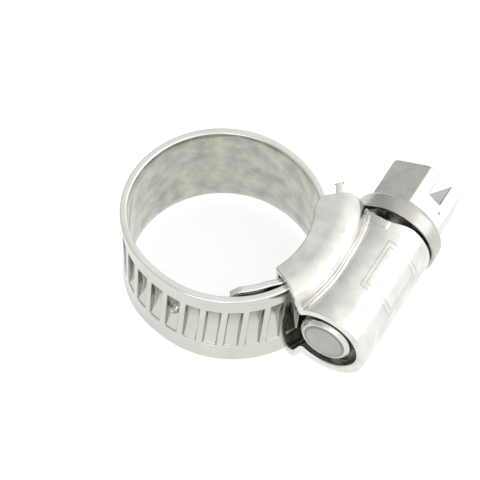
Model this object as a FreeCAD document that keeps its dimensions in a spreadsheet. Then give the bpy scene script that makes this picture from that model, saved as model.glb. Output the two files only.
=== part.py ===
"""Worm-drive hose clamp, in millimetres.

The origin is the middle of the hose bore. +Z runs along the hose, +X points from the hose
to the worm screw, and +Y runs along the screw towards its hexagon head.

The band is one strip. It starts as a smooth tongue inside the housing, leaves the housing
on the head side, goes once round the hose and comes back into the housing's mouth as the
recessed outer layer under the worm. It flexes all the way round, so the loop is cut into
short links that turn on hinges in the middle of the strip's thickness.
"""

import FreeCAD
import Part

import math
import os
from collections import namedtuple

import Sketcher

SIZES = {
    # hose bore and band strip
    "bore_radius": 8.45,
    "band_width": 9.7,
    "band_thick": 0.7,
    "rim_flare": 0.3,
    "rim_width": 0.9,
    "layer_gap": 0.08,
    "link_gap": 0.16,
    "tail_radius": 9.1,
    # where the strip's ends lie, as angles about the saddle's centre
    "tongue_angle": 59.0,
    "fixed_angle": 46.5,
    "link_start_angle": 50.0,
    "feed_start_angle": 97.0,
    "feed_end_angle": 50.0,
    # recesses pressed into the strip for the worm
    "recess_pitch_angle": 12.0,
    "recess_first_angle": 84.0,
    "recess_count": 11,
    "recess_width": 1.2,
    "recess_length": 5.5,
    "recess_depth": 0.5,
    "recess_slant": 5.3,
    # housing, pressed from one sheet: a saddle over the band and a barrel round the screw
    "lip_thick": 0.59,
    "lip_width": 1.0,
    "wall_thick": 0.7,
    "edge_room": 0.1,
    "mouth_angle": 29.0,
    "exit_angle": 40.5,
    "shoulder_radius": 10.5,
    "crease_radius": 11.3,
    "crease_height": 3.9,
    "throat_radius": 10.7,
    "throat_height": 3.3,
    "screw_axis_x": 13.6,
    "barrel_radius": 4.2,
    "barrel_bore": 3.5,
    "barrel_mouth_y": 5.2,
    "barrel_head_y": 7.4,
    # worm screw
    "core_radius": 2.55,
    "tip_y": 5.25,
    "tip_chamfer": 0.3,
    "thread_radius": 3.4,
    "thread_crest": 0.45,
    "thread_root": 0.95,
    "thread_lead": 1.95,
    "thread_turns": 5,
    "collar_radius": 4.45,
    "collar_start_y": 7.75,
    "collar_end_y": 9.9,
    "collar_chamfer": 0.45,
    "hex_across_flats": 7.0,
    "hex_end_y": 14.4,
    "hex_turn": 21.0,
    "hex_chamfer": 0.5,
    "slot_width": 1.5,
    "slot_depth": 2.4,
}
UPPER_LINKS = 3
LEFT_LINKS = 5
OVERSIZE = 3.0
ORIGIN = FreeCAD.Vector(0, 0, 0)
AXIS_X = FreeCAD.Vector(1, 0, 0)
AXIS_Z = FreeCAD.Vector(0, 0, 1)

# The inner layer of the strip lies under the outer one, and the lips lie under both.
INNER_RADIUS = "(sizes.tail_radius - sizes.band_thick - sizes.layer_gap)"
LIP_TOP = f"({INNER_RADIUS} - sizes.band_thick / 2 - sizes.layer_gap)"
SADDLE_X = f"(sizes.bore_radius + sizes.lip_thick - {LIP_TOP})"
SCREW_X = f"(sizes.screw_axis_x - {SADDLE_X})"

Arc = namedtuple("Arc", "x y radius start end")

doc = FreeCAD.newDocument("hose_clamp")
sheet = doc.addObject("Spreadsheet::Sheet", "sizes")
for row, (alias, value) in enumerate(SIZES.items(), start=1):
    sheet.set(f"A{row}", alias)
    sheet.set(f"B{row}", str(value))
    sheet.setAlias(f"B{row}", alias)
calculator = doc.addObject("App::FeaturePython", "calculator")
doc.recompute()
parts = []


def worth(expression):
    """What an expression of the sheet's cells is worth, as a plain number."""
    return float(calculator.evalExpression(expression))


def size(alias):
    """One driving dimension."""
    return worth(f"sizes.{alias}")


def polar(radius, degrees):
    """The point at that radius and angle, as x and y."""
    return radius * math.cos(math.radians(degrees)), radius * math.sin(math.radians(degrees))


def turned(x, y, degrees):
    """A placement at x, y whose own X axis points that many degrees round Z."""
    return FreeCAD.Placement(FreeCAD.Vector(x, y, 0), FreeCAD.Rotation(AXIS_Z, degrees))


def new_body(label, placement):
    """An empty body for one sub-part, in its own place."""
    body = doc.addObject("PartDesign::Body", label)
    body.Label = label
    body.Placement = placement
    parts.append(body)
    return body


def origin_feature(body, role):
    """One of a body's own origin planes or axes, such as XZ_Plane."""
    return next(f for f in body.Origin.OriginFeatures if f.Role == role)


def new_sketch(body, name, role, height="0"):
    """A sketch on one of the body's origin planes, or that height above it."""
    sketch = body.newObject("Sketcher::SketchObject", name)
    sketch.AttachmentSupport = [(origin_feature(body, role), "")]
    sketch.MapMode = "FlatFace"
    sketch.setExpression("AttachmentOffset.Base.z", height)
    return sketch


def bind(sketch, kind, expression, *where):
    """A dimension of the sketch that follows an expression of the sheet."""
    index = sketch.addConstraint(Sketcher.Constraint(kind, *where, worth(expression)))
    sketch.setExpression(f"Constraints[{index}]", expression)


def add_outline(sketch, points):
    """A closed outline of straight lines, its corners given as pairs of expressions."""
    first = sketch.GeometryCount
    corners = [FreeCAD.Vector(worth(x), worth(y), 0) for x, y in points]
    for here, there in zip(corners, corners[1:] + corners[:1]):
        sketch.addGeometry(Part.LineSegment(here, there))
    for i, (x, y) in enumerate(points):
        following = first + (i + 1) % len(points)
        sketch.addConstraint(Sketcher.Constraint("Coincident", first + i, 2, following, 1))
        bind(sketch, "DistanceX", x, -1, 1, first + i, 1)
        bind(sketch, "DistanceY", y, -1, 1, first + i, 1)


def add_circle(sketch, x, radius):
    """A circle on the sketch's own X axis."""
    centre = FreeCAD.Vector(worth(x), 0, 0)
    index = sketch.addGeometry(Part.Circle(centre, AXIS_Z, worth(radius)))
    bind(sketch, "DistanceX", x, -1, 1, index, 3)
    bind(sketch, "DistanceY", "0", -1, 1, index, 3)
    bind(sketch, "Radius", radius, index)


def mirrored_outline(half):
    """An outline of pairs (radius, height) that is the same above and below the XY plane."""
    return half + [(x, f"-({y})") for x, y in reversed(half)]


def turn_profile(body, kind, name, sketch, after, before):
    """A revolution or groove about the body's Z, that many degrees each way."""
    feature = body.newObject(kind, name)
    feature.Profile = sketch
    feature.ReferenceAxis = (sketch, ["V_Axis"])
    feature.Type = "TwoAngles"
    feature.setExpression("Angle", after)
    feature.setExpression("Angle2", before)
    body.Tip = feature
    return feature


def whole_turn(body, kind, name, sketch):
    """A revolution or groove all the way round the body's Z."""
    feature = body.newObject(kind, name)
    feature.Profile = sketch
    feature.ReferenceAxis = (sketch, ["V_Axis"])
    feature.Angle = 360
    body.Tip = feature


def push_profile(body, kind, name, sketch, length, reverse=False, side="One side"):
    """A pad or pocket of a sketch."""
    feature = body.newObject(kind, name)
    feature.Profile = sketch
    feature.SideType = side
    feature.Reversed = reverse
    feature.setExpression("Length", length)
    body.Tip = feature
    return feature


def must_change(body, more, action):
    """Runs an action, and stops if it didn't add to or take from the body as it should."""
    doc.recompute()
    before = body.Shape.Volume
    action()
    doc.recompute()
    after = body.Shape.Volume
    if (after > before) != more or abs(after - before) < 1e-3:
        raise RuntimeError(f"{body.Label}: the volume went from {before:.3f} to {after:.3f}")


def band_section(body, radius):
    """The strip's section: flat, with both edges rolled outwards."""
    half_width = "sizes.band_width / 2"
    rim = f"{half_width} - sizes.rim_width"
    inside = f"({radius}) - sizes.band_thick / 2"
    outside = f"({radius}) + sizes.band_thick / 2"
    sketch = new_sketch(body, f"{body.Label}_section", "XZ_Plane")
    upper_inside = [(inside, rim), (f"{inside} + sizes.rim_flare", half_width)]
    upper_outside = [(f"{outside} + sizes.rim_flare", half_width), (outside, rim)]
    add_outline(sketch, mirrored_outline(upper_inside + upper_outside))
    return sketch


def recess_sketch(body, name, floor, offsets):
    """Slanted slots seen from outside the strip, on a plane at the recess's floor."""
    sketch = new_sketch(body, name, "YZ_Plane", floor)
    half_length = "sizes.recess_length / 2"
    lean = f"{half_length} * tan(sizes.recess_slant * 1deg)"
    for offset in offsets:
        low = f"{offset} - {lean}"
        high = f"{offset} + {lean}"
        add_outline(sketch, [
            (f"{low} - sizes.recess_width / 2", f"-{half_length}"),
            (f"{low} + sizes.recess_width / 2", f"-{half_length}"),
            (f"{high} + sizes.recess_width / 2", half_length),
            (f"{high} - sizes.recess_width / 2", half_length),
        ])
    return sketch


def cut_recesses(body, radius, offsets):
    """Presses recesses into the outer face, at those distances along the strip."""
    floor = f"({radius}) + sizes.band_thick / 2 - sizes.recess_depth"
    sketch = recess_sketch(body, f"{body.Label}_recesses", floor, offsets)
    must_change(body, False, lambda: push_profile(
        body, "PartDesign::Pocket", f"{body.Label}_pressing", sketch, "sizes.band_thick * 2",
        reverse=True))


def make_arcs():
    """The loop outside the saddle: an upper arc, the arc round the bore, and a flat lead-in.

    Each arc leaves its neighbours along their tangents, so the three follow from the radii
    of the layers in the saddle, the bore, and the angles where the loop meets them.
    """
    saddle_x = worth(SADDLE_X)
    left_radius = size("bore_radius") + size("band_thick") / 2

    def joining(layer_radius, layer_angle):
        step = left_radius - layer_radius
        sideways = saddle_x * math.cos(math.radians(layer_angle))
        away = (step ** 2 - saddle_x ** 2) / (2 * (step - sideways))
        radius = layer_radius + away
        back_x, back_y = polar(away, layer_angle)
        x, y = saddle_x - back_x, -back_y
        meeting = math.degrees(math.atan2(-y, -x)) % 360
        return x, y, radius, meeting

    upper_x, upper_y, upper_radius, upper_end = joining(worth(INNER_RADIUS), size("link_start_angle"))
    feed_x, feed_y, feed_radius, left_end = joining(size("tail_radius"), -size("feed_start_angle"))
    return (
        Arc(upper_x, upper_y, upper_radius, size("link_start_angle"), upper_end),
        Arc(0.0, 0.0, left_radius, upper_end, left_end),
        Arc(feed_x, feed_y, feed_radius, left_end, 360 - size("feed_start_angle")),
    )


def split_arc(arc, count):
    """An arc as that many equal ones."""
    step = (arc.end - arc.start) / count
    return [arc._replace(start=arc.start + i * step, end=arc.start + (i + 1) * step) for i in range(count)]


def make_housing():
    """The one-piece housing: saddle, band channel between its lips, and screw barrel."""
    body = new_body("housing", FreeCAD.Placement(FreeCAD.Vector(worth(SADDLE_X), 0, 0), FreeCAD.Rotation()))
    inside = "(sizes.band_width / 2 + sizes.edge_room)"
    outside = f"({inside} + sizes.wall_thick)"
    below_lips = f"{LIP_TOP} - {OVERSIZE}"

    saddle = new_sketch(body, "saddle_section", "XZ_Plane")
    add_outline(saddle, mirrored_outline([
        ("sizes.crease_radius", "sizes.crease_height"),
        ("sizes.shoulder_radius", outside),
        (below_lips, outside),
    ][::-1]))
    turn_profile(body, "PartDesign::Revolution", "saddle", saddle, "sizes.exit_angle", "sizes.mouth_angle")

    barrel = new_sketch(body, "barrel_section", "XZ_Plane", "sizes.barrel_mouth_y")
    add_circle(barrel, SCREW_X, "sizes.barrel_radius")
    length = "sizes.barrel_mouth_y + sizes.barrel_head_y"
    must_change(body, True, lambda: push_profile(
        body, "PartDesign::Pad", "barrel", barrel, length, reverse=True))

    channel = new_sketch(body, "channel_section", "XZ_Plane")
    lip_edge = f"{inside} - sizes.lip_width"
    add_outline(channel, mirrored_outline([
        (below_lips, lip_edge),
        (LIP_TOP, lip_edge),
        (LIP_TOP, inside),
        ("sizes.shoulder_radius - sizes.wall_thick", inside),
        ("sizes.throat_radius", "sizes.throat_height"),
    ]))
    must_change(body, False, lambda: whole_turn(body, "PartDesign::Groove", "channel", channel))

    bore = new_sketch(body, "screw_bore_section", "XZ_Plane", "sizes.barrel_mouth_y * 2")
    add_circle(bore, SCREW_X, "sizes.barrel_bore")
    must_change(body, False, lambda: push_profile(
        body, "PartDesign::Pocket", "screw_bore", bore, f"{length} + {OVERSIZE} * 4"))

    hose = new_sketch(body, "hose_bore_section", "XY_Plane")
    add_circle(hose, f"-{SADDLE_X}", "sizes.bore_radius")
    must_change(body, False, lambda: push_profile(
        body, "PartDesign::Pocket", "hose_bore", hose, "sizes.band_width * 2", side="Symmetric"))


def make_worm_screw():
    """The screw: pilot tip, worm thread, collar, and hexagon head with a driver slot."""
    upright = FreeCAD.Rotation(AXIS_X, -90)
    body = new_body("worm_screw", FreeCAD.Placement(FreeCAD.Vector(size("screw_axis_x"), 0, 0), upright))

    shank = new_sketch(body, "shank_section", "XZ_Plane")
    add_outline(shank, [
        ("0", "-sizes.tip_y"),
        ("sizes.core_radius - sizes.tip_chamfer", "-sizes.tip_y"),
        ("sizes.core_radius", "-sizes.tip_y + sizes.tip_chamfer"),
        ("sizes.core_radius", "sizes.collar_start_y"),
        ("sizes.collar_radius - sizes.tip_chamfer", "sizes.collar_start_y"),
        ("sizes.collar_radius", "sizes.collar_start_y + sizes.tip_chamfer"),
        ("sizes.collar_radius", "sizes.collar_end_y - sizes.collar_chamfer"),
        ("sizes.collar_radius - sizes.collar_chamfer", "sizes.collar_end_y"),
        ("0", "sizes.collar_end_y"),
    ])
    whole_turn(body, "PartDesign::Revolution", "shank", shank)

    thread = new_sketch(body, "thread_section", "XZ_Plane")
    start = "-sizes.thread_lead * 1.5"
    buried = "sizes.core_radius - sizes.tip_chamfer / 2"
    add_outline(thread, [
        (buried, f"{start} - sizes.thread_root / 2"),
        ("sizes.thread_radius", f"{start} - sizes.thread_crest / 2"),
        ("sizes.thread_radius", f"{start} + sizes.thread_crest / 2"),
        (buried, f"{start} + sizes.thread_root / 2"),
    ])

    def wind():
        helix = body.newObject("PartDesign::AdditiveHelix", "thread")
        helix.Profile = thread
        helix.ReferenceAxis = (thread, ["V_Axis"])
        helix.Mode = "pitch-turns-angle"
        helix.setExpression("Pitch", "sizes.thread_lead")
        helix.setExpression("Turns", "sizes.thread_turns")
        body.Tip = helix

    must_change(body, True, wind)

    head = new_sketch(body, "hexagon_section", "XY_Plane", "sizes.collar_end_y")
    corners = [f"(60 * {k} - sizes.hex_turn) * 1deg" for k in range(6)]
    corner_radius = "sizes.hex_across_flats / sqrt(3)"
    add_outline(head, [(f"{corner_radius} * cos({a})", f"{corner_radius} * sin({a})") for a in corners])
    must_change(body, True, lambda: push_profile(
        body, "PartDesign::Pad", "hexagon", head, "sizes.hex_end_y - sizes.collar_end_y"))

    chamfer = new_sketch(body, "hexagon_chamfer_section", "XZ_Plane")
    add_outline(chamfer, [
        ("sizes.hex_across_flats / 2", "sizes.hex_end_y"),
        (f"{corner_radius} + sizes.hex_chamfer", "sizes.hex_end_y"),
        (f"{corner_radius} + sizes.hex_chamfer", "sizes.hex_end_y - sizes.hex_chamfer * 2"),
    ])
    must_change(body, False, lambda: whole_turn(body, "PartDesign::Groove", "hexagon_chamfer", chamfer))

    slot = new_sketch(body, "slot_section", "XY_Plane", "sizes.hex_end_y")
    along = "(30 + sizes.hex_turn) * 1deg"
    half = "sizes.hex_across_flats"
    side = "sizes.slot_width / 2"
    add_outline(slot, [
        (f"{a} * {half} * cos({along}) + {b} * {side} * sin({along})",
         f"-({a} * {half} * sin({along})) + {b} * {side} * cos({along})")
        for a, b in ((-1, -1), (1, -1), (1, 1), (-1, 1))
    ])
    must_change(body, False, lambda: push_profile(
        body, "PartDesign::Pocket", "driver_slot", slot, "sizes.slot_depth"))


def make_fixed_end():
    """The strip's smooth start: the tongue and the inner layer that the saddle holds."""
    body = new_body("band_fixed_end", turned(worth(SADDLE_X), 0, 0))
    section = band_section(body, INNER_RADIUS)
    turn_profile(body, "PartDesign::Revolution", "strip", section, "sizes.fixed_angle", "sizes.tongue_angle")


def make_tail():
    """The strip's recessed end, which the worm draws through the saddle."""
    body = new_body("band_tail", turned(worth(SADDLE_X), 0, -size("recess_first_angle")))
    section = band_section(body, "sizes.tail_radius")
    turn_profile(
        body, "PartDesign::Revolution", "strip", section,
        "sizes.recess_first_angle + sizes.feed_end_angle",
        "sizes.feed_start_angle - sizes.recess_first_angle",
    )
    cut_recesses(body, "sizes.tail_radius", ["0"])

    def repeat():
        row = body.newObject("PartDesign::PolarPattern", "recess_row")
        row.Originals = [body.getObject("band_tail_pressing")]
        row.Axis = (origin_feature(body, "Z_Axis"), [""])
        row.setExpression("Angle", "sizes.recess_pitch_angle * (sizes.recess_count - 1)")
        row.Occurrences = int(size("recess_count"))
        body.Tip = row

    must_change(body, False, repeat)


def make_link(number, arc, recessed):
    """One link of the loop, a little shorter than its arc at each end."""
    middle = (arc.start + arc.end) / 2
    body = new_body(f"band_link_{number:02d}", turned(arc.x, arc.y, middle))
    section = band_section(body, f"{arc.radius}")
    half_span = f"{(arc.end - arc.start) / 2} - sizes.link_gap / 2 / {arc.radius} * 180 / pi"
    turn_profile(body, "PartDesign::Revolution", "strip", section, half_span, half_span)
    if recessed:
        half_pitch = "sizes.tail_radius * sizes.recess_pitch_angle * pi / 360"
        cut_recesses(body, f"{arc.radius}", [f"-{half_pitch}", half_pitch])


make_housing()
make_worm_screw()
make_fixed_end()
make_tail()
upper_arc, left_arc, feed_arc = make_arcs()
links = split_arc(upper_arc, UPPER_LINKS) + split_arc(left_arc, LEFT_LINKS) + [feed_arc]
for number, arc in enumerate(links, start=1):
    make_link(number, arc, recessed=UPPER_LINKS + 1 < number < len(links))

doc.recompute()
for item in doc.Objects:
    if "Invalid" in item.State or "Error" in item.State:
        raise RuntimeError(f"{item.Label} failed: {item.State}")
for body in parts:
    if body.Shape.isNull() or not body.Shape.isValid() or len(body.Shape.Solids) != 1:
        raise RuntimeError(f"{body.Label} isn't one valid solid")

os.makedirs("parts", exist_ok=True)
for body in parts:
    body.Shape.exportStep(f"parts/{body.Label}.step")
    print(f"{body.Label}: {body.Shape.Volume:.2f} mm3")
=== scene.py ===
import math

import bpy
import numpy as np
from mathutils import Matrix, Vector


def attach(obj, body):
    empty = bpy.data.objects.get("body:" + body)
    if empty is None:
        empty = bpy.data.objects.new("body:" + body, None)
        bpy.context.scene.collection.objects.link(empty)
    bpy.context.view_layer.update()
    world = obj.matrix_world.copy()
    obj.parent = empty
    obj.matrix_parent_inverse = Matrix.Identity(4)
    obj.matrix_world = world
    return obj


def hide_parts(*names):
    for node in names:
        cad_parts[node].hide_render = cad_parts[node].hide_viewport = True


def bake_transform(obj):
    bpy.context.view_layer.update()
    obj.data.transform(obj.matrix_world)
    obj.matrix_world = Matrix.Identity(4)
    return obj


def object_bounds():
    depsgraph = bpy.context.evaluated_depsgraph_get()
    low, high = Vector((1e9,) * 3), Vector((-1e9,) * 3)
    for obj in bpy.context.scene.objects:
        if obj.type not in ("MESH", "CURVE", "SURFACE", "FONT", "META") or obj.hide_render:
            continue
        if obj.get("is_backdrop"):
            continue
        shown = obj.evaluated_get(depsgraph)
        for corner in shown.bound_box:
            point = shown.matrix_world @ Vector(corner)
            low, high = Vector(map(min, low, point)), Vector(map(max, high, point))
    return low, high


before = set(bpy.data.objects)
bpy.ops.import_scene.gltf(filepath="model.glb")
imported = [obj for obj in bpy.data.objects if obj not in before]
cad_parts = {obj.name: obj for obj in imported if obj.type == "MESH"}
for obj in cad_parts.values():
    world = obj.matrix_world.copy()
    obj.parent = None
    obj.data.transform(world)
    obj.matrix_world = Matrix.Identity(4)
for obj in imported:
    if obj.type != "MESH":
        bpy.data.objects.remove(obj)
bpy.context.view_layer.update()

MM = 0.001

# sizes in millimetres; angles in degrees about the saddle's centre, unless they're made radians here
SADDLE_X = 1.15
BORE_RADIUS = 8.45
THICK = 0.7
WIDTH = 9.7
TAIL_RADIUS = 9.1
INNER_RADIUS = 8.32
LOOP_RADIUS = BORE_RADIUS + THICK / 2
TONGUE, OPEN_PIVOT, LEAD_IN, TAIL_END = -62.0, 50.0, -97.0, 50.0
UPPER_LINKS, LEFT_LINKS = 3, 5
PITCH = TAIL_RADIUS * math.radians(12)
SLANT = math.tan(math.radians(5.3))
SCREW_X = 13.6
HALF_HEIGHT = 5.65
LEAD = 1.95
HEX_TURN = math.radians(51)


# ---------------------------------------------------------------- the strip's path

def joining(layer_radius, layer_angle):
    """Centre, radius and meeting angle of the arc from the saddle's layer to the loop."""
    step = LOOP_RADIUS - layer_radius
    turn = math.radians(layer_angle)
    away = (step ** 2 - SADDLE_X ** 2) / (2 * (step - SADDLE_X * math.cos(turn)))
    x, y = SADDLE_X - away * math.cos(turn), -away * math.sin(turn)
    return x, y, layer_radius + away, math.degrees(math.atan2(-y, -x)) % 360


def strip_arcs():
    ux, uy, ur, upper_end = joining(INNER_RADIUS, OPEN_PIVOT)
    fx, fy, fr, left_end = joining(TAIL_RADIUS, LEAD_IN)
    return [
        (SADDLE_X, 0.0, INNER_RADIUS, TONGUE, OPEN_PIVOT),
        (ux, uy, ur, OPEN_PIVOT, upper_end),
        (0.0, 0.0, LOOP_RADIUS, upper_end, left_end),
        (fx, fy, fr, left_end, 360 + LEAD_IN),
        (SADDLE_X, 0.0, TAIL_RADIUS, 360 + LEAD_IN, 360 + TAIL_END),
    ]


ARCS = strip_arcs()
LENGTHS = [a[2] * math.radians(a[4] - a[3]) for a in ARCS]
STARTS = np.concatenate([[0.0], np.cumsum(LENGTHS)])
TOTAL = float(STARTS[-1])


def strip_point(s):
    """Mid-line point and outward normal at each distance along the strip."""
    s = np.asarray(s, float)
    x, y, nx, ny = (np.zeros_like(s) for _ in range(4))
    for i, (cx, cy, r, a0, _a1) in enumerate(ARCS):
        low = STARTS[i] if i else -1e9
        high = STARTS[i + 1] if i < len(ARCS) - 1 else 1e9
        here = (s >= low) & (s < high)
        a = math.radians(a0) + (s[here] - STARTS[i]) / r
        nx[here], ny[here] = np.cos(a), np.sin(a)
        x[here], y[here] = cx + r * np.cos(a), cy + r * np.sin(a)
    return x, y, nx, ny


def smooth(t):
    t = np.clip(t, 0, 1)
    return t * t * (3 - 2 * t)


# ---------------------------------------------------------------- materials

BRUSH_DEPTH = 0.02
# how far the painted shade darkens a colour where the shade attribute is 1
PAINTED_SHADE_TONE = 0.25
NOISE_LOW, NOISE_HIGH = 0.3, 0.7


def shader(name, colour, rough, streak=(1.0, 1.0, 1.0), grain=0.08, bump=0.02, mottle=0.06,
           uv=False, rough_span=0.06, mottle_scale=260.0, wave=0.0, wave_scale=0.0):
    """Brushed steel: fine streaks, a mottled tone, soft dents, and painted shade, darker where "shade" says.
    """
    mat = bpy.data.materials.new(name)
    mat.use_nodes = True
    nodes, links = mat.node_tree.nodes, mat.node_tree.links
    bsdf = nodes["Principled BSDF"]
    bsdf.inputs["Metallic"].default_value = 1.0
    coords = nodes.new("ShaderNodeTexCoord")
    source = coords.outputs["UV" if uv else "Object"]
    stretch = nodes.new("ShaderNodeMapping")
    stretch.inputs["Scale"].default_value = streak
    links.new(source, stretch.inputs["Vector"])
    fine = nodes.new("ShaderNodeTexNoise")
    fine.inputs["Scale"].default_value = 1.0
    fine.inputs["Detail"].default_value = 5.0
    fine.inputs["Roughness"].default_value = 0.65
    links.new(stretch.outputs["Vector"], fine.inputs["Vector"])
    cloud = nodes.new("ShaderNodeTexNoise")
    cloud.inputs["Scale"].default_value = mottle_scale * (MM if uv else 1.0)
    cloud.inputs["Detail"].default_value = 3.0
    links.new(source, cloud.inputs["Vector"])

    def spread(socket, low, high):
        node = nodes.new("ShaderNodeMapRange")
        node.inputs["From Min"].default_value = NOISE_LOW
        node.inputs["From Max"].default_value = NOISE_HIGH
        node.inputs["To Min"].default_value = low
        node.inputs["To Max"].default_value = high
        links.new(socket, node.inputs["Value"])
        return node.outputs["Result"]

    roughness = nodes.new("ShaderNodeMath")
    roughness.operation = "ADD"
    links.new(spread(fine.outputs["Fac"], rough - grain, rough + grain), roughness.inputs[0])
    links.new(spread(cloud.outputs["Fac"], -rough_span, rough_span), roughness.inputs[1])
    links.new(roughness.outputs["Value"], bsdf.inputs["Roughness"])
    tone = nodes.new("ShaderNodeMix")
    tone.data_type = "RGBA"
    tone.inputs["A"].default_value = (*[c * (1 - mottle) for c in colour], 1)
    tone.inputs["B"].default_value = (*[min(1, c * (1 + mottle)) for c in colour], 1)
    links.new(spread(cloud.outputs["Fac"], 0.0, 1.0), tone.inputs["Factor"])
    height = nodes.new("ShaderNodeBump")
    height.inputs["Strength"].default_value = bump
    height.inputs["Distance"].default_value = BRUSH_DEPTH * MM
    links.new(fine.outputs["Fac"], height.inputs["Height"])
    swell = nodes.new("ShaderNodeTexNoise")
    swell.inputs["Scale"].default_value = wave_scale
    swell.inputs["Detail"].default_value = 1.0
    links.new(source, swell.inputs["Vector"])
    dents = nodes.new("ShaderNodeBump")
    dents.inputs["Strength"].default_value = 1.0
    dents.inputs["Distance"].default_value = wave * MM
    links.new(swell.outputs["Fac"], dents.inputs["Height"])
    links.new(dents.outputs["Normal"], height.inputs["Normal"])
    links.new(height.outputs["Normal"], bsdf.inputs["Normal"])
    # painted shade: the shade attribute mixes the colour towards a darker copy of it
    shade_attribute = nodes.new("ShaderNodeAttribute")
    shade_attribute.attribute_name = "shade"
    painted_shade_mix = nodes.new("ShaderNodeMix")
    painted_shade_mix.data_type = "RGBA"
    links.new(shade_attribute.outputs["Fac"], painted_shade_mix.inputs["Factor"])
    links.new(tone.outputs["Result"], painted_shade_mix.inputs["A"])
    painted_shade_mix.inputs["B"].default_value = (*[c * PAINTED_SHADE_TONE for c in colour], 1)
    links.new(painted_shade_mix.outputs["Result"], bsdf.inputs["Base Color"])
    return mat


STRIP = shader("strip_steel", (0.61, 0.615, 0.56), 0.17, streak=(0.35, 7.0, 1.0), uv=True,
               grain=0.05, bump=0.25, mottle=0.05, wave=0.05, wave_scale=0.45)
# a darker, shaded copy of the strip steel for the strip's inside, with strong smudges standing in for
# reflections: painted shade and painted reflection
STRIP_INSIDE_SHADED = shader("strip_steel_inside_shaded", (0.47, 0.465, 0.41), 0.15, streak=(0.35, 7.0, 1.0), uv=True,
                      grain=0.05, bump=0.25, mottle=0.22, mottle_scale=620.0, wave=0.11, wave_scale=0.36)
# a brighter, lit copy of the strip steel for its edges: painted highlight
STRIP_EDGE_HIGHLIGHT = shader("strip_steel_edge_highlight", (0.84, 0.84, 0.80), 0.2, streak=(0.35, 7.0, 1.0), uv=True,
                    grain=0.05, bump=0.2, mottle=0.05)
PRESSED = shader("pressed_steel", (0.725, 0.715, 0.68), 0.24, streak=(900.0, 500.0, 900.0),
                 grain=0.06, bump=0.3, mottle=0.12, mottle_scale=520.0, wave=0.08, wave_scale=420.0)
TURNED = shader("turned_steel", (0.65, 0.64, 0.60), 0.24, streak=(900.0, 3000.0, 900.0),
                grain=0.07, bump=0.4, mottle=0.10, mottle_scale=700.0, wave=0.03, wave_scale=700.0)


# ---------------------------------------------------------------- meshes

def add_mesh(name, points, faces, material, normals=None, uv=None, shade=None):
    mesh = bpy.data.meshes.new(name)
    mesh.from_pydata((np.asarray(points) * MM).tolist(), [], faces)
    mesh.materials.append(material)
    mesh.polygons.foreach_set("use_smooth", np.ones(len(mesh.polygons), bool))
    if uv is not None:
        layer = mesh.uv_layers.new(name="along")
        corner = np.zeros(len(mesh.loops), np.int32)
        mesh.loops.foreach_get("vertex_index", corner)
        layer.data.foreach_set("uv", uv[corner].astype(np.float32).ravel())
    if shade is not None:
        layer = mesh.attributes.new("shade", "FLOAT", "POINT")
        layer.data.foreach_set("value", np.asarray(shade, np.float32))
    mesh.update()
    if normals is not None:
        mesh.normals_split_custom_set_from_vertices(normals.tolist())
    obj = bpy.data.objects.new(name, mesh)
    bpy.context.scene.collection.objects.link(obj)
    return obj


def vertex_normals(points, faces):
    """Area-weighted normals of a quad mesh."""
    quads = np.asarray(faces)
    p = points[quads]
    n = np.cross(p[:, 2] - p[:, 0], p[:, 3] - p[:, 1])
    out = np.zeros_like(points)
    for i in range(4):
        np.add.at(out, quads[:, i], n)
    return out / np.maximum(np.linalg.norm(out, axis=1, keepdims=True), 1e-12)


def net(name, field, low, high, step, material, painted_shade=None, rounds=6):
    """The surface where a distance field is zero, as a quad mesh with exact normals."""
    axes = [np.arange(a, b + step, step, dtype=np.float32) for a, b in zip(low, high)]
    value = field(*np.meshgrid(*axes, indexing="ij"))
    inside = value < 0
    count = np.zeros([n - 1 for n in inside.shape], np.int8)
    for i in (0, 1):
        for j in (0, 1):
            for k in (0, 1):
                count += inside[i:inside.shape[0] - 1 + i, j:inside.shape[1] - 1 + j,
                                k:inside.shape[2] - 1 + k]
    mixed = (count > 0) & (count < 8)
    index = np.full(mixed.shape, -1, np.int64)
    cells = np.argwhere(mixed)
    index[mixed] = np.arange(len(cells))
    points = np.array(low) + (cells + 0.5) * step

    def slope(p):
        e = 0.01
        g = np.stack([
            field(*(p + d).T) - field(*(p - d).T) for d in np.eye(3) * e
        ], axis=1) / (2 * e)
        return g / np.maximum(np.linalg.norm(g, axis=1, keepdims=True), 1e-9)

    for _ in range(rounds):
        gap = np.clip(field(*points.T), -step / 2, step / 2)
        points = points - slope(points) * gap[:, None] * 0.9
    quads = []
    for axis in range(3):
        u, v = (axis + 1) % 3, (axis + 2) % 3
        below = np.take(inside, range(inside.shape[axis] - 1), axis=axis)
        above = np.take(inside, range(1, inside.shape[axis]), axis=axis)
        edge = np.argwhere(below != above)
        edge = edge[(edge[:, u] > 0) & (edge[:, v] > 0)
                    & (edge[:, u] < inside.shape[u] - 1) & (edge[:, v] < inside.shape[v] - 1)]
        du, dv = np.zeros(3, int), np.zeros(3, int)
        du[u], dv[v] = 1, 1
        ring = [index[tuple((edge - o).T)] for o in (du + dv, dv, 0 * du, du)]
        quad = np.stack(ring, axis=1)
        out = below[tuple(edge.T)]
        quads.append(np.where(out[:, None], quad, quad[:, ::-1]))
    faces = np.concatenate(quads)
    # the shade attribute holds the painted shade that the given function computes
    return add_mesh(name, points, faces.tolist(), material, normals=slope(points),
                    shade=np.zeros(len(points)) if painted_shade is None else painted_shade(*points.T))


def smax(a, b, k):
    return np.maximum(a, b) + np.maximum(k - np.abs(a - b), 0) ** 2 / (4 * k)


def smin(a, b, k):
    return -smax(-a, -b, k)


# ---------------------------------------------------------------- the strip

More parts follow.
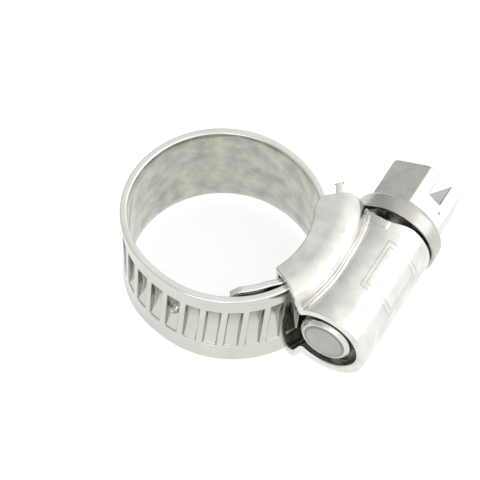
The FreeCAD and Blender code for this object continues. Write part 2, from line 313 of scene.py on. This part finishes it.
# half sizes of a recess, along and across the strip, and the spread of its walls
RECESS_ALONG, RECESS_ACROSS = 0.66, 2.79
WALL_ALONG, WALL_ACROSS = 0.13, 0.09
RIM_DEPTH, FLOOR_HOLLOW, FLOOR_SPAN = 0.12, 0.43, 2.75
CORNER, HEM, HEM_RISE, HEM_SPAN = 0.18, 3.6, 0.17, 1.12
EDGE = WIDTH / 2 - CORNER


def recess_depth(a, b):
    """Depth of one recess: steep walls down to a floor that is hollow along the slot."""
    box = smooth((RECESS_ALONG - np.abs(a)) / WALL_ALONG) * smooth((RECESS_ACROSS - np.abs(b)) / WALL_ACROSS)
    return box * (RIM_DEPTH + FLOOR_HOLLOW * (1 - (b / FLOOR_SPAN) ** 2))


def recess_shade(a, b):
    """Painted shade in one recess: most on its steep walls and towards the top of its floor."""
    along, across = RECESS_ALONG - np.abs(a), RECESS_ACROSS - np.abs(b)
    inside = smooth((along + 0.04) / 0.05) * smooth((across + 0.05) / 0.05)
    wall = 1 - smooth((along - 0.08) / 0.08) * smooth((across - 0.05) / 0.08)
    upper = smooth((b + 0.3) / 2.9)
    return inside * (0.05 + 0.5 * upper + 0.5 * wall * smooth((b + 2.72) / 0.1))


def strip_section():
    """Rows round the strip's section as (side, offset, height)."""
    flat = np.concatenate([np.arange(0, 2.41, 0.12), [2.55, 2.64, 2.7, 2.74, 2.78, 2.83, 3.0, 3.3, HEM]])
    flat = np.concatenate([-flat[:0:-1], flat])
    hem = np.linspace(3.8, EDGE, 7)
    half = THICK / 2 - CORNER

    def rise(z):
        return HEM_RISE * ((max(abs(z), HEM) - HEM) / HEM_SPAN) ** 2

    def corner_rows(degrees, offset, z):
        return [(0, rise(EDGE) + offset + CORNER * math.cos(t), z + CORNER * math.sin(t))
                for t in np.radians(degrees)]

    rows = [(1, rise(z) + THICK / 2, z) for z in np.concatenate([-hem[::-1], flat, hem])]
    rows += corner_rows(np.linspace(0, 90, 5)[1:], half, EDGE)
    rows += corner_rows(np.linspace(90, 180, 5)[:-1], -half, EDGE)
    inner = np.concatenate([hem[::-1], np.arange(HEM, -HEM - 0.01, -0.6), -hem])
    rows += [(-1, rise(z) - THICK / 2, z) for z in inner]
    rows += corner_rows(np.linspace(180, 270, 5)[1:], -half, -EDGE)
    rows += corner_rows(np.linspace(270, 360, 5)[:-1], half, -EDGE)
    return rows


# the recesses are spaced from the first one on the tail's arc, on along the tail and back round the loop
FIRST_MARK_TURN = -84
FIRST_MARK = STARTS[4] + TAIL_RADIUS * math.radians(FIRST_MARK_TURN - LEAD_IN)
LAST_MARK_TURN = 122.5
TAIL_RECESSES = 11
BURR_MARK = FIRST_MARK - PITCH
BURR_HEIGHT = 0.3


def strip_columns():
    """Distances along the strip of the mesh's columns, close together at each recess."""
    _, _, radius, loop_start, _ = ARCS[2]
    stop = STARTS[2] + radius * math.radians(LAST_MARK_TURN - loop_start)
    back = int((FIRST_MARK - stop) / PITCH)
    marks = FIRST_MARK + PITCH * np.arange(-back, TAIL_RECESSES)
    half = np.array([0, 0.12, 0.25, 0.38, 0.48, 0.53, 0.555, 0.58, 0.605, 0.63, 0.655, 0.68, 0.74, 0.86])
    local = np.concatenate([-half[:0:-1], half])
    dense = [m + local for m in marks] + [marks[:-1] + PITCH / 2, TOTAL - 0.05 * np.arange(1, 5)]
    low, high = marks[0] - 0.9, marks[-1] + 0.9
    plain = [np.arange(0, low, 0.25), np.arange(TOTAL, high, -0.25)]
    return np.unique(np.round(np.concatenate(dense + plain), 5)), marks


def tongue_sink(turn):
    """The tongue stands a little in from the outer layer once it's out of the saddle."""
    return 0.27 * smooth((-27 - turn) / 11)


def burr(a, z):
    """A small torn lip of metal in one recess."""
    away = np.hypot(a, z - BURR_HEIGHT)
    ring = np.exp(-((away - 0.34) / 0.12) ** 2) * smooth((0.55 + z - 0.9 * a) / 0.5)
    pit = np.exp(-(away / 0.2) ** 4)
    return 0.5 * ring - 0.2 * pit


# painted shade in the burr's pit
def burr_shade(a, z):
    return 0.9 * np.exp(-(np.hypot(a, z - BURR_HEIGHT) / 0.24) ** 4) * (np.abs(a) < 0.9)


SLANT_FADE = 2.0
TONGUE_TAPER = 0.75
LIFT_LENGTH, LIFT_HEIGHT, LIFT_POWER, THINNING = 5.2, 1.22, 1.7, 0.5
END_LIP_OUT, END_LIP_IN = 0.16, 0.14


def build_strip():
    """The whole strip as one grid: columns along it and rows round its section."""
    s, marks = strip_columns()
    rows = strip_section()
    count, wide = len(s), len(rows)
    shade = np.zeros((count, wide))
    points = np.zeros((count, wide, 3))
    uv = np.zeros((count, wide, 2))
    fade = smooth(s / SLANT_FADE) * smooth((TOTAL - s) / SLANT_FADE)
    near = marks[np.argmin(np.abs(s[:, None] - marks[None, :]), axis=1)]
    taper = 1 - np.maximum(0, TONGUE_TAPER - s) / (WIDTH / 2)
    for j, (side, o, z) in enumerate(rows):
        along = s + z * SLANT * fade
        level = np.full(count, z)
        x, y, nx, ny = strip_point(along)
        turn = np.degrees(along / INNER_RADIUS) + TONGUE
        offset = o - tongue_sink(turn)
        if side > 0:
            offset = offset - recess_depth(s - near, level) + burr(s - BURR_MARK, z)
            # painted shade in the recesses and in the burr's pit
            shade[:, j] = np.clip(recess_shade(s - near, level) + burr_shade(s - BURR_MARK, z), 0, 1)
        lift = np.maximum(0, along - (TOTAL - LIFT_LENGTH)) / LIFT_LENGTH
        offset = offset + LIFT_HEIGHT * lift ** LIFT_POWER
        if side < 0:
            offset = offset + THINNING * smooth(lift * 1.3)
        lip = END_LIP_OUT if side > 0 else -END_LIP_IN
        offset = offset + lip * smooth((along - TOTAL + 0.17) / 0.06)
        points[:, j] = np.stack([x + nx * offset, y + ny * offset, z * taper], axis=1)
        uv[:, j] = np.stack([along, np.full(count, z + side * 20.0)], axis=1)
    return s, points, uv, wide, shade


def strip_faces(count, wide):
    i = np.arange(count - 1)[:, None]
    j = np.arange(wide)[None, :]
    k = (j + 1) % wide
    corners = [i * wide + j, (i + 1) * wide + j, (i + 1) * wide + k, i * wide + k]
    quads = np.stack(corners, axis=-1)
    return quads.reshape(-1, 4)


S, POINTS, UVS, WIDE, SHADES = build_strip()
whole = strip_faces(len(S), WIDE)
NORMALS = vertex_normals(POINTS.reshape(-1, 3), whole).reshape(POINTS.shape)


def strip_piece(name, low, high, cap=None):
    """The part of the strip between two distances, cut from the whole grid."""
    pick = np.where((S >= low - 1e-6) & (S <= high + 1e-6))[0]
    normals = NORMALS[pick].reshape(-1, 3)
    faces = strip_faces(len(pick), WIDE).tolist()
    flat = POINTS[pick].reshape(-1, 3)
    uv = UVS[pick].reshape(-1, 2)
    shade = SHADES[pick].ravel()
    if cap is not None:
        end = 0 if cap < 0 else len(pick) - 1
        ring = [end * WIDE + j for j in range(WIDE)]
        loop = [len(flat) + j for j in range(WIDE)]
        flat = np.concatenate([flat, flat[ring]])
        uv = np.concatenate([uv, uv[ring]])
        shade = np.concatenate([shade, shade[ring]])
        _, _, nx, ny = strip_point(np.array([high if cap > 0 else low]))
        direction = np.array([-ny[0], nx[0], 0.0]) * cap
        normals = np.concatenate([normals, np.tile(direction, (WIDE, 1))])
        faces.append(loop if cap > 0 else loop[::-1])
    obj = add_mesh(name, flat, faces, STRIP, normals=normals, uv=uv, shade=shade)
    obj.data.materials.append(STRIP_INSIDE_SHADED)
    obj.data.materials.append(STRIP_EDGE_HIGHLIGHT)
    # the edge rows take the lit copy (painted highlight), the inside rows the shaded copy (painted shade)
    side = np.array([row[0] for row in strip_section()])
    row_slot = np.where(side == 0, 2, np.where((side < 0) & (np.roll(side, -1) < 0), 1, 0))
    slot = np.zeros(len(faces), np.int32)
    slot[:(len(pick) - 1) * WIDE] = np.tile(row_slot, len(pick) - 1)
    obj.data.polygons.foreach_set("material_index", slot)
    return obj


def nearest(value):
    return float(S[np.argmin(np.abs(S - value))])


PIVOT_SEAM = 0.1
TAIL_SEAM = 1.6

link_ends = [STARTS[1]]
for arc, parts_count in ((1, UPPER_LINKS), (2, LEFT_LINKS), (3, 1)):
    for i in range(parts_count):
        link_ends.append(STARTS[arc] + LENGTHS[arc] * (i + 1) / parts_count)
middles = [nearest((a + b) / 2) for a, b in zip(link_ends, link_ends[1:])]
tongue = strip_piece("strip_fixed", 0.0, nearest(STARTS[1] - PIVOT_SEAM), cap=-1)
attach(tongue, "housing_and_end")
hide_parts("band_fixed_end")
first = strip_piece("strip_bend_00", nearest(STARTS[1] - PIVOT_SEAM), middles[0])
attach(first, "band_link_01")
names = [f"band_link_{i + 1:02d}" for i in range(len(middles))] + ["band_tail"]
for i, low in enumerate(middles):
    high = middles[i + 1] if i + 1 < len(middles) else nearest(STARTS[4] + TAIL_SEAM)
    piece = strip_piece(f"strip_bend_{i + 1:02d}", low, high)
    x, y, _, _ = strip_point(np.array([low + 0.25 * (high - low), high - 0.25 * (high - low)]))
    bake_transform(piece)
    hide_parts(names[i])
tail = strip_piece("strip_tail", nearest(STARTS[4] + TAIL_SEAM), TOTAL, cap=1)
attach(tail, "band_tail")
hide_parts("band_tail")


# ---------------------------------------------------------------- the housing

SADDLE_TOP, SADDLE_ROUND = 11.3, 1.5
SLOPE_RADIUS, SLOPE_X, SLOPE_Z = 10.5, 0.9095, 0.4158
EXIT_TURN, MOUTH_TURN = math.radians(40.5), math.radians(29.0)
FLARE, FLARE_FROM, FLARE_SPAN = 0.95, 4, 30
SHEET, ROOF_RELIEF = 0.6, 0.1
BARREL_RADIUS, BARREL_BORE, BARREL_TIP, BARREL_HEAD = 4.2, 3.5, -5.2, 7.56
NOTCH_TURN, NOTCH_SPREAD, NOTCH_DEPTH = 92, 24, 0.81
PAD_TURN, PAD_HALF, PAD_Y, PAD_HEIGHT = 105, 19, 6.35, 0.09
FOLD_IN = 0.12
CHANNEL_INNER, WINDOW_HALF, WINDOW_RADIUS = 7.89, 3.95, 8.2
EXIT_CUT = 0.55


def housing_field(x, y, z):
    """Saddle and barrel rolled from one sheet: below zero is metal."""
    dx = x - SADDLE_X
    rho = np.hypot(dx, y)
    w = np.abs(z)
    turn = np.degrees(np.arctan2(y, dx))
    flare = FLARE * smooth((turn - FLARE_FROM) / FLARE_SPAN)
    past_exit = y * math.cos(EXIT_TURN) - dx * math.sin(EXIT_TURN)
    past_mouth = -y * math.cos(MOUTH_TURN) - dx * math.sin(MOUTH_TURN)

    # the saddle's outside, with its mouth's end blended into the barrel's
    slope = (rho - flare - SLOPE_RADIUS) * SLOPE_X + (w - HALF_HEIGHT) * SLOPE_Z
    roll = smax(w - HALF_HEIGHT, slope, SADDLE_ROUND)
    saddle = smax(smax(roll, rho - flare - SADDLE_TOP, 0.3), smax(slope, past_exit, 0.9), 0.15)
    lap = smooth(rho - 10.2)
    saddle = smax(saddle, past_mouth * (1 - lap) + (BARREL_TIP - y) * lap, 0.12)

    # the barrel, with its pressed pad and the notch under the screw's collar
    across = x - SCREW_X
    reach = np.hypot(across, z)
    around = np.degrees(np.arctan2(z, across))
    pad = (smooth((PAD_HALF - np.abs(around - PAD_TURN)) / 3 + 0.5)
           * smooth((0.5 - np.abs(y - PAD_Y)) / 0.12 + 0.5))
    head_end = BARREL_HEAD - NOTCH_DEPTH * np.exp(-((around - NOTCH_TURN) / NOTCH_SPREAD) ** 2)
    ends = np.maximum(BARREL_TIP - y, y - head_end)
    barrel = smax(reach - BARREL_RADIUS - PAD_HEIGHT * pad, ends, 0.1)

    # the fine rolled line along the crease
    both = smin(saddle, barrel, 0.3)
    seam = roll - (reach - BARREL_RADIUS)
    bead = 0.07 * np.exp(-(seam / 0.16) ** 2) - 0.06 * np.exp(-((seam - 0.36) / 0.14) ** 2)
    both = both - smooth((turn + 27) / 5) * bead

    # what is hollow: the strip's channel with the screw's bore, the space between the plates, the hose's
    tuck = FOLD_IN * smooth((-4.2 - y) / 0.8)
    relief = ROOF_RELIEF * smooth((turn - 22) / 8)
    bore = np.hypot(across + tuck, z) - BARREL_BORE + tuck
    hollow = smin(roll + SHEET - relief, bore, 0.3)
    window = np.maximum(w - WINDOW_HALF, rho - WINDOW_RADIUS)
    cavity = np.minimum(np.maximum(hollow, CHANNEL_INNER - rho), window)
    hose = np.hypot(x, y) - BORE_RADIUS - EXIT_CUT * smooth((turn - 31) / 10)
    return smax(both, -np.minimum(cavity, hose), 0.16)


def housing_painted_shade(x, y, z):
    """Painted shade inside the barrel and channel."""
    rho = np.hypot(x - SADDLE_X, y)
    within = np.minimum(3.62 - np.hypot(x - SCREW_X, z), 0.1)
    channel = np.minimum(5.05 - np.abs(z), 10.8 - rho)
    return 0.12 * smooth(np.maximum(within, np.minimum(channel, rho - 7.8)) / 0.1)


FIELD_STEP = 0.085

housing = net("housing_pressing", housing_field, (6.5, -7.6, -5.9), (18.1, 8.9, 5.9),
              FIELD_STEP, PRESSED, painted_shade=housing_painted_shade)
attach(housing, "housing_and_end")
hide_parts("housing")


def border_lines(boxes, radius, thick, proud):
    """Rectangles of fine raised line on the barrel, each as (angle, angle, y, y)."""
    points, faces = [], []
    for a0, a1, y0, y1 in boxes:
        turns = np.linspace(a0, a1, 40)
        path = [(a, y0) for a in turns] + [(a1, y) for y in np.linspace(y0, y1, 12)[1:]]
        path += [(a, y1) for a in turns[::-1][1:]] + [(a0, y) for y in np.linspace(y1, y0, 12)[1:-1]]
        flat = np.array([(radius * math.radians(a), y) for a, y in path])
        ahead = np.roll(flat, -1, axis=0) - np.roll(flat, 1, axis=0)
        side = np.stack([-ahead[:, 1], ahead[:, 0]], axis=1)
        side /= np.linalg.norm(side, axis=1, keepdims=True)
        first = len(points)
        for (u, v), (du, dv) in zip(flat, side):
            for across, up in ((-thick / 2, -0.01), (0, proud), (thick / 2, -0.01)):
                angle, r = (u + du * across) / radius, radius + up
                points.append((SCREW_X + r * math.cos(angle), v + dv * across, r * math.sin(angle)))
        n = len(flat)
        for i in range(n):
            here, there = first + 3 * i, first + 3 * ((i + 1) % n)
            faces += [(here, there, there + 1, here + 1), (here + 1, there + 1, there + 2, here + 2)]
    return add_mesh("barrel_border", np.array(points), faces, PRESSED, shade=np.full(len(points), 0.6))


border = border_lines([(75, 14, -0.55, 5.0), (70, 19, 0.0, 4.45)], BARREL_RADIUS, 0.11, 0.015)
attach(border, "housing_and_end")


# ---------------------------------------------------------------- the worm screw

ROOT_RADIUS, CREST_RADIUS = 2.55, 3.4
SHANK_MIDDLE, SHANK_HALF = 1.5, 6.75
THREAD_MIDDLE, THREAD_HALF = 1.95, 4.9
COLLAR_RADIUS, COLLAR_MIDDLE, COLLAR_HALF = 4.45, 8.825, 1.075
HEX_HALF, HEX_CORNER, HEAD_MIDDLE, HEAD_HALF = 3.5, 3.86, 11.9, 2.5
SLOT_HALF, SLOT_FLOOR = 0.75, 12.0
RING_RADIUS = 1.98
PIT_PLACE, PIT_RADIUS = (16.68, 11.26, 2.01), 0.14
DIAGONAL = 0.7071


def screw_field(x, y, z):
    """The worm screw turned from one bar: below zero is metal."""
    across = x - SCREW_X
    r = np.hypot(across, z)

    # shank with a chamfered tip and a ring turned in its face
    core = smax(r - ROOT_RADIUS, np.abs(y - SHANK_MIDDLE) - SHANK_HALF, 0.12)
    tip = SHANK_MIDDLE - SHANK_HALF
    core = smax(core, (r - y - ROOT_RADIUS + tip + 0.36) * DIAGONAL, 0.08)
    core = core + 0.09 * np.exp(-((r - RING_RADIUS) / 0.12) ** 2) * smooth((-4.9 - y) / 0.2)

    # right-hand thread
    turn = np.arctan2(-z, across) / (2 * math.pi)
    climb = y + 1.5 * LEAD - LEAD * turn
    h = np.abs(climb - LEAD * np.round(climb / LEAD))
    ridge = smax(r - CREST_RADIUS, (h - 0.475 + (r - ROOT_RADIUS) * 0.3) * 0.92, 0.12)
    ridge = smax(ridge, np.abs(y - THREAD_MIDDLE) - THREAD_HALF, 0.2)
    shank = smin(core, ridge, 0.15)

    collar = smax(r - COLLAR_RADIUS, np.abs(y - COLLAR_MIDDLE) - COLLAR_HALF, 0.12)
    collar_top = COLLAR_MIDDLE + COLLAR_HALF
    collar = smax(collar, (r + y - COLLAR_RADIUS - collar_top + 0.5) * DIAGONAL, 0.15)

    # hexagon, chamfered, with a driver slot and a small dent in one flat
    sides = [np.abs(across * math.cos(a) + z * math.sin(a)) - HEX_HALF
             for a in (HEX_TURN + math.radians(60 * k) for k in range(3))]
    flats = smax(smax(sides[0], sides[1], 0.1), sides[2], 0.1)
    head = smax(flats, np.abs(y - HEAD_MIDDLE) - HEAD_HALF, 0.12)
    head = smax(head, (r + y - HEX_CORNER - HEAD_MIDDLE - HEAD_HALF) * DIAGONAL, 0.1)
    aside = np.abs(-across * math.sin(HEX_TURN) + z * math.cos(HEX_TURN))
    head = smax(head, -smax(aside - SLOT_HALF, SLOT_FLOOR - y, 0.15), 0.15)
    px, py, pz = PIT_PLACE
    pit = np.sqrt((x - px) ** 2 + (y - py) ** 2 + (z - pz) ** 2) - PIT_RADIUS
    head = smax(head, -pit, 0.05)
    return smin(smin(shank, collar, 0.1), head, 0.12)


def screw_painted_shade(x, y, z):
    """Painted shade on the tip, in the ring, on shank and collar, and in the driver slot; on the tip's face
    it is partly that face's own duller tone too.
    """
    r = np.hypot(x - SCREW_X, z)
    face = smooth((-5.05 - y) / 0.1)
    ring = np.exp(-((r - RING_RADIUS) / 0.14) ** 2)
    shank = smooth((7.5 - y) / 0.2) * smooth((y + 4.9) / 0.2)
    collar = smooth((9.6 - y) / 0.2) * smooth((y - 7.6) / 0.1) * smooth((r - 4.0) / 0.2)
    aside = np.abs(-(x - SCREW_X) * math.sin(HEX_TURN) + z * math.cos(HEX_TURN))
    slot = smooth((0.84 - aside) / 0.06) * smooth((y - 11.85) / 0.1)
    tip = 0.5 * smooth((2.0 - r) / 0.1) + 0.6 * ring
    return np.clip(face * tip + 0.2 * shank + 0.3 * collar + 0.45 * slot, 0, 1)


screw = net("screw_turned", screw_field, (8.8, -5.6, -4.8), (18.4, 14.8, 4.8),
            FIELD_STEP, TURNED, painted_shade=screw_painted_shade)
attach(screw, "worm_screw")
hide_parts("worm_screw")


# ---------------------------------------------------------------- stage, light, camera

def plain_material(name, colour):
    mat = bpy.data.materials.new(name)
    mat.use_nodes = True
    bsdf = mat.node_tree.nodes["Principled BSDF"]
    bsdf.inputs["Base Color"].default_value = (*colour, 1)
    bsdf.inputs["Roughness"].default_value = 0.9
    bsdf.inputs["Emission Color"].default_value = (1, 1, 1, 1)
    bsdf.inputs["Emission Strength"].default_value = 0.78
    return mat


FLOOR_GAP = 0.01
bpy.ops.mesh.primitive_plane_add(size=3.0, location=(0, 0, -(HALF_HEIGHT + FLOOR_GAP) * MM))
floor = bpy.context.object
floor.name = "floor"
floor.data.materials.append(plain_material("floor_white", (0.36, 0.36, 0.36)))
floor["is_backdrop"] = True


def light(name, place, size, power, target):
    """A rectangular area light turned to a point."""
    data = bpy.data.lights.new(name, "AREA")
    data.shape = "RECTANGLE"
    data.size, data.size_y = size
    data.energy = power
    obj = bpy.data.objects.new(name, data)
    obj.location = place
    obj.rotation_mode = "QUATERNION"
    obj.rotation_quaternion = (Vector(target) - Vector(place)).to_track_quat("-Z", "Y")
    bpy.context.scene.collection.objects.link(obj)


light("key_right", (0.30, 0.12, 0.14), (0.24, 0.24), 0.14, (0.008, 0, 0))
light("front_fill", (0.05, -0.40, 0.12), (0.30, 0.16), 0.25, (0.004, 0, 0))

world = bpy.data.worlds.new("studio")
bpy.context.scene.world = world
world.use_nodes = True
nodes, links = world.node_tree.nodes, world.node_tree.links
around = nodes.new("ShaderNodeTexCoord")
toward = nodes.new("ShaderNodeVectorMath")
toward.operation = "DOT_PRODUCT"
toward.inputs[1].default_value = Vector((0.88, 0.30, 0.22)).normalized()
links.new(around.outputs["Generated"], toward.inputs[0])
level = nodes.new("ShaderNodeMapRange")
level.interpolation_type = "SMOOTHSTEP"
level.inputs["From Min"].default_value = -0.5
level.inputs["From Max"].default_value = 1.0
level.inputs["To Min"].default_value = 0.61
level.inputs["To Max"].default_value = 1.34
links.new(toward.outputs["Value"], level.inputs["Value"])
links.new(level.outputs["Result"], nodes["Background"].inputs["Strength"])
nodes["Background"].inputs["Color"].default_value = (1.0, 1.0, 0.985, 1)

AZIMUTH, ELEVATION = math.radians(29.6), math.radians(55.5)
DISTANCE, SPAN, SENSOR = 250.0, 44.44, 36.0
back = Vector((math.sin(AZIMUTH) * math.cos(ELEVATION), -math.cos(AZIMUTH) * math.cos(ELEVATION),
               math.sin(ELEVATION)))
right = Vector((math.cos(AZIMUTH), math.sin(AZIMUTH), 0))
upward = back.cross(right)
target = Vector((0.3, 0, 0)) + right * 1.435 + upward * 0.046
data = bpy.data.cameras.new("camera")
data.sensor_width = SENSOR
data.lens = SENSOR * DISTANCE / SPAN
data.clip_start, data.clip_end = 0.01, 10.0
camera = bpy.data.objects.new("camera", data)
camera.location = (target + back * DISTANCE) * MM
camera.rotation_mode = "QUATERNION"
camera.rotation_quaternion = (-back).to_track_quat("-Z", "Y")
bpy.context.scene.collection.objects.link(camera)
bpy.context.scene.camera = camera
bpy.context.scene.view_settings.view_transform = "Standard"

low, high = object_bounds()
